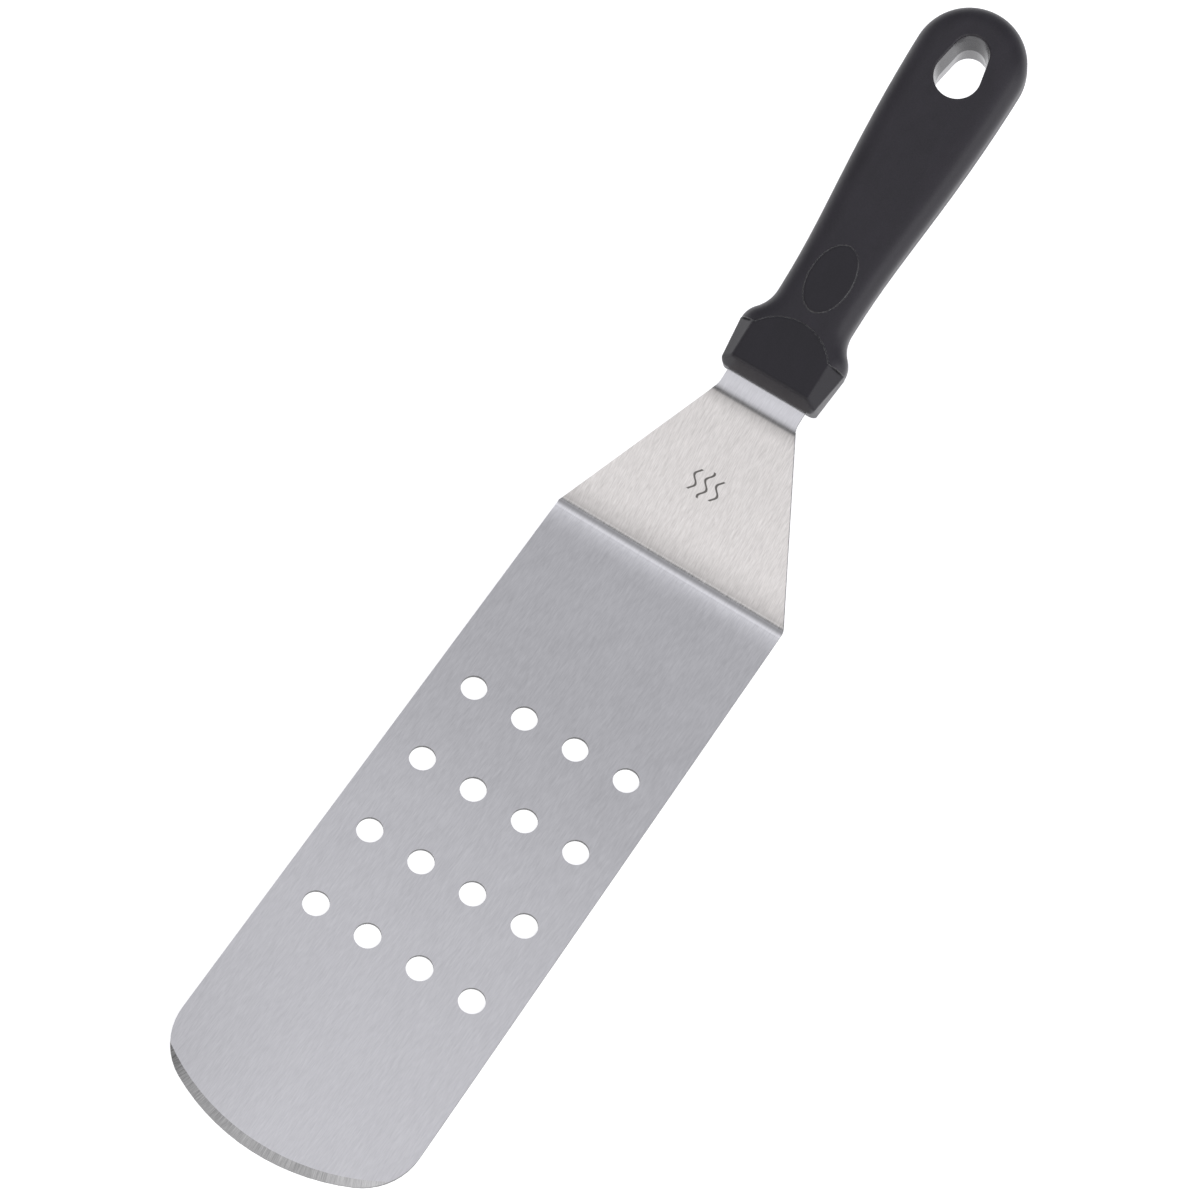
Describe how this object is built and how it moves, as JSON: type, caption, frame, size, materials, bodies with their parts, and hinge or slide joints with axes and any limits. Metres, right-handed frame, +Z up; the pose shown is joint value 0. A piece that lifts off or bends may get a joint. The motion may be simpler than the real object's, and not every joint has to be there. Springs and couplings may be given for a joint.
{
  "type": "grill spatula",
  "caption": "Grill spatula: drilled stainless blade with a ground leading edge, cranked neck, and a black moulded handle with a chamfered bolster and a hanging slot.",
  "frame": {"origin": "centre of the blade's flat underside, midway between its straight sides and halfway from the rounded tip to the first bend", "axes": "+Z up, out of the face that food rides on; +Y from the blade towards the handle; +X across the blade"},
  "size_m": [0.075, 0.373, 0.0898],
  "materials": {
    "stainless_sheet": "satin, brushed along the blade",
    "core_plastic": "satin black",
    "grip_plastic": "satin black, slightly warmer than the core"
  },
  "bodies": {
    "root": {"blade": "stainless_sheet", "handle_core": "core_plastic", "handle_grip": "grip_plastic"}
  },
  "joints": []
}
